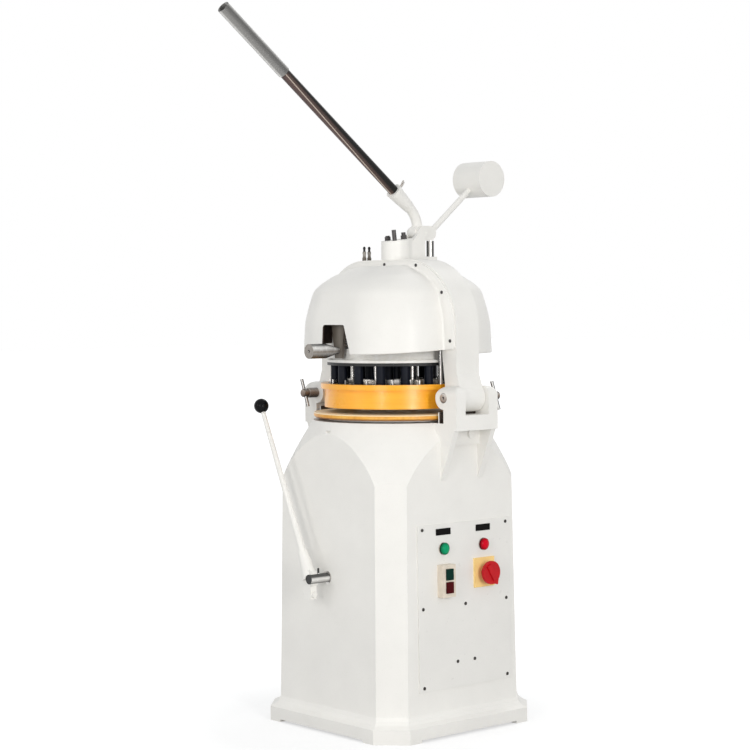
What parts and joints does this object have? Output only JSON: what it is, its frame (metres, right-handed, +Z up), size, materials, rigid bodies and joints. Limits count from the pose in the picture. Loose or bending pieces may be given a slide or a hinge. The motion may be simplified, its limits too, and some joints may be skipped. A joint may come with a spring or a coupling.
{
  "type": "dough divider rounder",
  "caption": "Floor-standing dough divider rounder: cast body with electric side panel, orbiting moulding plate, dividing ring under a domed head, and a counterweighted press lever.",
  "frame": {"origin": "on the floor, at the middle of the bounding box from the lever tip to the counterweight; the vertical press axis stands at x = 0, y = +0.1211 m", "axes": "+Z up along the press axis, +X to the electric panel side, -Y to the operator at the front"},
  "size_m": [0.684, 1.0478, 2.0915],
  "materials": {
    "white_paint": "satin enamel over cast iron and sheet steel",
    "panel_paint": "satin enamel on sheet steel",
    "ring_orange": "glossy orange enamel",
    "plate_amber": "smooth amber plastic",
    "bright_steel": "turned and brushed",
    "dark_steel": "blackened",
    "chrome": "polished",
    "grey_casting": "as cast, machined seats",
    "press_alloy": "cast and turned",
    "motor_grey": "grey enamel",
    "belt_rubber": "matt",
    "black_plastic": "glossy",
    "label_black": "matt, bare",
    "box_cream": "moulded",
    "button_green": "moulded",
    "button_red": "moulded",
    "switch_yellow": "moulded",
    "knob_red": "moulded",
    "lens_green": "translucent moulded",
    "lens_red": "translucent moulded"
  },
  "bodies": {
    "base": {"base_casting": "white_paint", "electrical_panel": "panel_paint", "panel_screws": "bright_steel", "label_plates": "label_black", "lamp_bezels": "chrome", "green_lens": "lens_green", "red_lens": "lens_red", "switch_box": "box_cream", "main_switch_plate": "switch_yellow", "terminal_block": "black_plastic", "motor": "motor_grey", "motor_bracket": "bright_steel", "drive_belt": "belt_rubber", "bearing_housing": "grey_casting", "rounding_bush": "bright_steel", "saddle_right": "white_paint", "saddle_left": "white_paint", "saddle_bolts": "white_paint", "yoke": "white_paint", "front_cover": "white_paint", "rear_cover": "white_paint", "cover_screws": "dark_steel", "crown_block": "white_paint", "crown_fasteners": "dark_steel", "fulcrum_pin": "white_paint", "stop_post": "chrome", "oilers": "bright_steel", "handle_pivot": "bright_steel"},
    "press_lever": {"lever_hub": "white_paint", "lever_tube": "chrome", "lever_grip": "bright_steel", "counterweight_rod": "white_paint", "counterweight": "white_paint"},
    "clamp_screw": {"lever_clamp_screw": "bright_steel"},
    "ram": {"ram_shaft": "chrome", "press_plate": "press_alloy", "press_columns": "dark_steel", "press_pads": "press_alloy"},
    "knives": {"knife_grid": "bright_steel"},
    "ring": {"cutting_ring": "ring_orange", "ring_tie_rods": "bright_steel"},
    "knife_handle": {"knife_handle_arm": "dark_steel", "knife_handle_grip": "bright_steel"},
    "rounding_lever": {"rounding_shaft": "bright_steel", "rounding_hub": "white_paint", "hub_clamp_bolt": "bright_steel", "rounding_arm": "white_paint", "rounding_ball": "black_plastic"},
    "spindle": {"eccentric_spindle": "bright_steel", "driven_pulley": "bright_steel"},
    "table": {"rounding_table": "bright_steel", "dough_plate": "plate_amber"},
    "motor_rotor": {"motor_pulley": "bright_steel"},
    "start_button": {"start_button": "button_green"},
    "stop_button": {"stop_button": "button_red"},
    "main_switch": {"main_switch_knob": "knob_red"},
    "right_pin": {"pin_screw_right": "dark_steel", "tommy_bar_right": "bright_steel"},
    "left_pin": {"pin_screw_left": "dark_steel", "tommy_bar_left": "bright_steel"}
  },
  "joints": [
    {"name": "press_lever", "type": "hinge", "parent": "base", "child": "press_lever", "pos_m": [0, 0.20911, 1.462], "axis": [1, 0, 0], "range_deg": [0, 40]},
    {"name": "press_slide", "type": "slide", "parent": "base", "child": "ram", "axis": [0, 0, -1], "range_m": [0, 0.04], "stiffness_N_per_m": 4000, "springref_m": -0.06},
    {"name": "ring_slide", "type": "slide", "parent": "base", "child": "ring", "axis": [0, 0, -1], "range_m": [0, 0.0145], "stiffness_N_per_m": 1500, "springref_m": -0.09},
    {"name": "knife_slide", "type": "slide", "parent": "ram", "child": "knives", "axis": [0, 0, -1], "range_m": [0, 0.015]},
    {"name": "knife_handle", "type": "hinge", "parent": "base", "child": "knife_handle", "pos_m": [-0.02, -0.08589, 1.232], "axis": [0, -1, 0], "range_deg": [0, 15]},
    {"name": "rounding_lever", "type": "hinge", "parent": "base", "child": "rounding_lever", "pos_m": [0, -0.20889, 0.452], "axis": [0, 1, 0], "range_deg": [0, 45]},
    {"name": "clamp_screw", "type": "hinge", "parent": "press_lever", "child": "clamp_screw", "pos_m": [0, 0.12653, 1.57762], "axis": [0, 0.6157, 0.788], "continuous": true},
    {"name": "spindle_spin", "type": "hinge", "parent": "base", "child": "spindle", "pos_m": [0, 0.12111, 0.8], "axis": [0, 0, 1], "continuous": true},
    {"name": "table_orbit", "type": "hinge", "parent": "spindle", "child": "table", "pos_m": [0.008, 0.12111, 0.9], "axis": [0, 0, 1], "continuous": true},
    {"name": "motor_spin", "type": "hinge", "parent": "base", "child": "motor_rotor", "pos_m": [0, 0.28111, 0.735], "axis": [0, 0, 1], "continuous": true},
    {"name": "start_button", "type": "slide", "parent": "base", "child": "start_button", "axis": [-0.9999, 0, -0.0125], "range_m": [0, 0.004], "stiffness_N_per_m": 600, "springref_m": -0.003},
    {"name": "stop_button", "type": "slide", "parent": "base", "child": "stop_button", "axis": [-0.9999, 0, -0.0125], "range_m": [0, 0.004], "stiffness_N_per_m": 600, "springref_m": -0.003},
    {"name": "main_switch", "type": "hinge", "parent": "base", "child": "main_switch", "pos_m": [0.27819, 0.20511, 0.46099], "axis": [0.9999, 0, 0.0125], "range_deg": [0, 90]},
    {"name": "right_pin", "type": "hinge", "parent": "base", "child": "right_pin", "pos_m": [0.287, 0.12611, 0.977], "axis": [0, 1, 0], "continuous": true},
    {"name": "left_pin", "type": "hinge", "parent": "base", "child": "left_pin", "pos_m": [-0.287, 0.12611, 0.977], "axis": [0, -1, 0], "continuous": true}
  ],
  "couplings": [
    {"joint": "press_slide", "follows": "press_lever", "m_per_rad": 0.057295},
    {"joint": "ring_slide", "follows": "press_lever", "m_per_rad": 0.020769},
    {"joint": "table_orbit", "follows": "spindle_spin", "ratio": -1},
    {"joint": "motor_spin", "follows": "spindle_spin", "ratio": 2.8}
  ]
}
